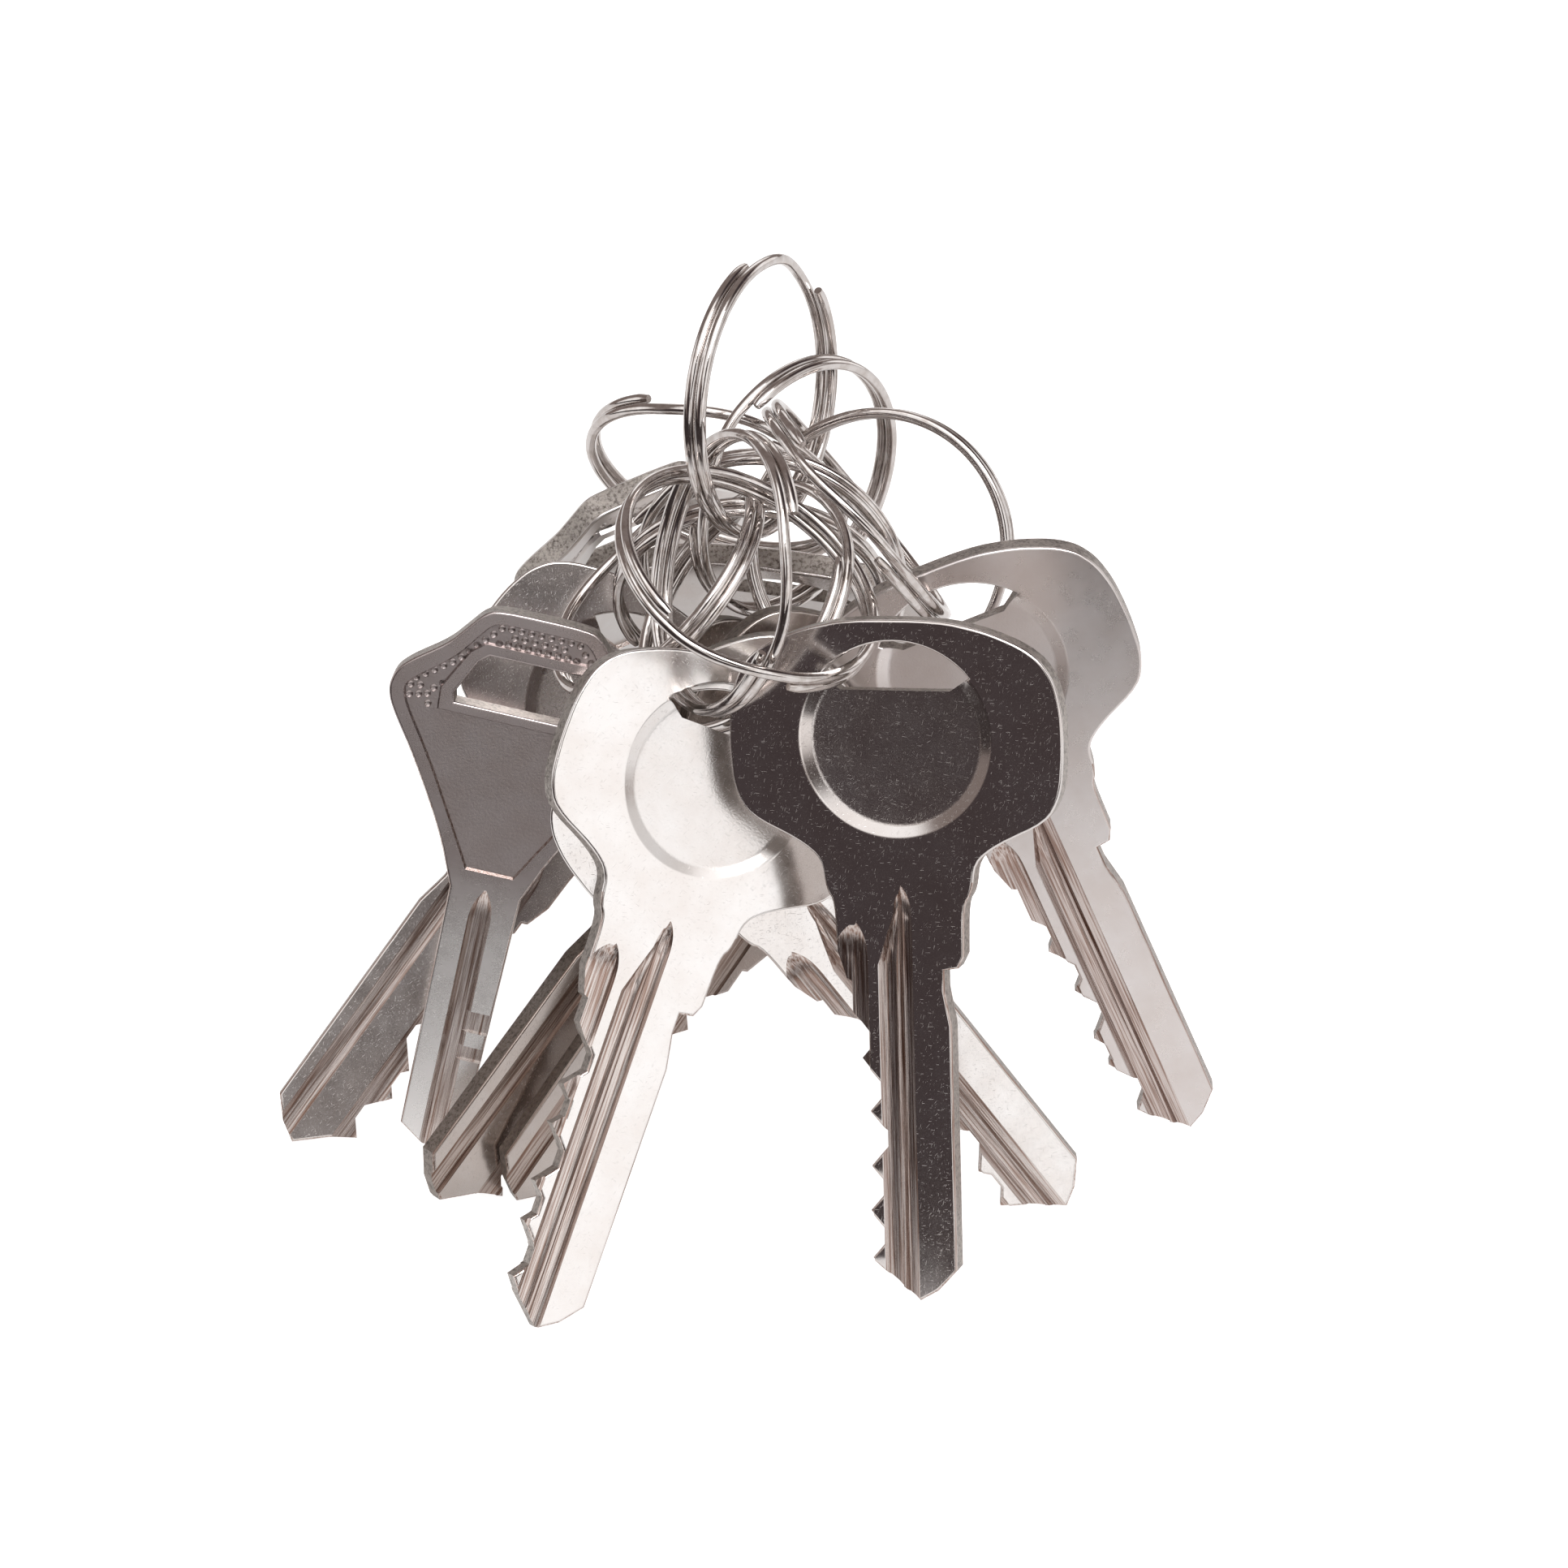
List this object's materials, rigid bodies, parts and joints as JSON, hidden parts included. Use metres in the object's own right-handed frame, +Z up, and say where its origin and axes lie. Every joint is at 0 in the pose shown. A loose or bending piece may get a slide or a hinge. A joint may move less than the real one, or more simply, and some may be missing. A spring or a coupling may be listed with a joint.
{
  "type": "key_bunch",
  "caption": "Bunch of nickel-plated door keys, each on its own small split ring, all threaded on one upright master split ring; the keys stand like a tent on their tips.",
  "frame": {"origin": "on the surface that the keys stand on, under the middle of the bounding box", "axes": "+Z up, +Y away from the front key, +X to the right of the front key as seen from the front"},
  "size_m": [0.0818, 0.0868, 0.0774],
  "materials": {
    "nickel_bright": "bright nickel plate, finely scratched by use",
    "nickel_satin": "satin nickel plate, darker in the sunk fields",
    "ring_steel": "plated spring wire, bright"
  },
  "bodies": {
    "master": {"master_ring": "ring_steel"},
    "link_front": {"ring_front": "ring_steel"},
    "hang_front": {"key_front": "nickel_bright"},
    "link_front_left": {"ring_front_left": "ring_steel"},
    "hang_front_left": {"key_front_left": "nickel_bright"},
    "link_behind": {"ring_behind": "ring_steel"},
    "hang_behind": {"key_behind": "nickel_bright"},
    "link_right": {"ring_right": "ring_steel"},
    "hang_right": {"key_right": "nickel_bright"},
    "link_left": {"ring_left": "ring_steel"},
    "hang_left": {"key_left": "nickel_bright"},
    "link_mid_back": {"ring_mid_back": "ring_steel"},
    "hang_mid_back": {"key_mid_back": "nickel_bright"},
    "link_mid_left": {"ring_mid_left": "ring_steel"},
    "hang_mid_left": {"key_mid_left": "nickel_bright"},
    "link_dimpled_front": {"ring_dimpled_front": "ring_steel"},
    "hang_dimpled_front": {"key_dimpled_front": "nickel_satin"},
    "link_dimpled_back": {"ring_dimpled_back": "ring_steel"},
    "hang_dimpled_back": {"key_dimpled_back": "nickel_satin"},
    "link_back": {"ring_back": "ring_steel"},
    "hang_back": {"key_back": "nickel_bright"}
  },
  "joints": [
    {"name": "swing_ring_front", "type": "hinge", "parent": "master", "child": "link_front", "pos_m": [-0.00265, -0.00681, 0.05907], "axis": [0.3194, 0.4449, -0.8367], "range_deg": [-6, 1]},
    {"name": "swing_key_front", "type": "hinge", "parent": "link_front", "child": "hang_front", "pos_m": [0.00876, -0.0201, 0.05106], "axis": [0.4946, 0.8683, -0.0384], "range_deg": [-12, 6]},
    {"name": "swing_ring_front_left", "type": "hinge", "parent": "master", "child": "link_front_left", "pos_m": [-0.00387, -0.00818, 0.06403], "axis": [0.1297, 0.0595, -0.9898], "range_deg": [-1, 5]},
    {"name": "swing_key_front_left", "type": "hinge", "parent": "link_front_left", "child": "hang_front_left", "pos_m": [-0.00418, -0.01693, 0.04601], "axis": [0.4173, -0.8947, 0.1594], "range_deg": [-10, 8]},
    {"name": "swing_ring_behind", "type": "hinge", "parent": "master", "child": "link_behind", "pos_m": [0.00299, 0.00285, 0.05388], "axis": [0.4564, 0.8812, 0.1231], "range_deg": [-1, 2]},
    {"name": "swing_key_behind", "type": "hinge", "parent": "link_behind", "child": "hang_behind", "pos_m": [-0.00607, -0.01064, 0.0408], "axis": [-0.507, 0.8545, -0.1131], "range_deg": [-3, 3]},
    {"name": "swing_ring_right", "type": "hinge", "parent": "master", "child": "link_right", "pos_m": [0.00555, 0.00811, 0.05634], "axis": [0.3174, 0.7134, 0.6247], "range_deg": [-3, 2]},
    {"name": "swing_key_right", "type": "hinge", "parent": "link_right", "child": "hang_right", "pos_m": [0.01591, -0.00636, 0.04913], "axis": [0.2746, 0.7206, -0.6367], "range_deg": [-2, 3]},
    {"name": "swing_ring_left", "type": "hinge", "parent": "master", "child": "link_left", "pos_m": [0.00172, 0.00045, 0.05386], "axis": [0.4751, 0.8731, -0.1098], "range_deg": [-1, 1]},
    {"name": "swing_key_left", "type": "hinge", "parent": "link_left", "child": "hang_left", "pos_m": [-0.00864, 0.00762, 0.03845], "axis": [-0.6207, -0.2937, 0.7269], "range_deg": [-12, 0]},
    {"name": "swing_ring_mid_back", "type": "hinge", "parent": "master", "child": "link_mid_back", "pos_m": [0.00312, 0.00309, 0.05391], "axis": [0.453, 0.8793, 0.1469], "range_deg": [0, 2]},
    {"name": "swing_key_mid_back", "type": "hinge", "parent": "link_mid_back", "child": "hang_mid_back", "pos_m": [0.00344, 0.00356, 0.03657], "axis": [-0.9677, 0.2291, -0.1049], "range_deg": [-6, 0]},
    {"name": "swing_ring_mid_left", "type": "hinge", "parent": "master", "child": "link_mid_left", "pos_m": [0.00594, 0.00901, 0.05722], "axis": [0.2752, 0.6497, 0.7086], "range_deg": [-2, 2]},
    {"name": "swing_key_mid_left", "type": "hinge", "parent": "link_mid_left", "child": "hang_mid_left", "pos_m": [0.00926, -0.00274, 0.04097], "axis": [0.9334, -0.3572, -0.0352], "range_deg": [-3, 0]},
    {"name": "swing_ring_dimpled_front", "type": "hinge", "parent": "master", "child": "link_dimpled_front", "pos_m": [0.00038, -0.00195, 0.05451], "axis": [0.4669, 0.8135, -0.3466], "range_deg": [-3, 0]},
    {"name": "swing_key_dimpled_front", "type": "hinge", "parent": "link_dimpled_front", "child": "hang_dimpled_front", "pos_m": [-0.01511, -0.00548, 0.04184], "axis": [0.29, -0.9477, 0.1334], "range_deg": [-34, 3]},
    {"name": "swing_ring_dimpled_back", "type": "hinge", "parent": "master", "child": "link_dimpled_back", "pos_m": [0.00495, 0.00681, 0.05536], "axis": [0.3666, 0.7831, 0.5024], "range_deg": [-3, 10]},
    {"name": "swing_key_dimpled_back", "type": "hinge", "parent": "link_dimpled_back", "child": "hang_dimpled_back", "pos_m": [-0.00727, 0.01943, 0.04526], "axis": [-0.8507, -0.0096, 0.5255], "range_deg": [-6, 8]},
    {"name": "swing_ring_back", "type": "hinge", "parent": "master", "child": "link_back", "pos_m": [0.00673, 0.01228, 0.06679], "axis": [-0.135, -0.0698, 0.9884], "range_deg": [-2, 0]},
    {"name": "swing_key_back", "type": "hinge", "parent": "link_back", "child": "hang_back", "pos_m": [0.00602, 0.00972, 0.04375], "axis": [-0.6894, -0.6599, -0.2988], "range_deg": [-5, 2]}
  ]
}
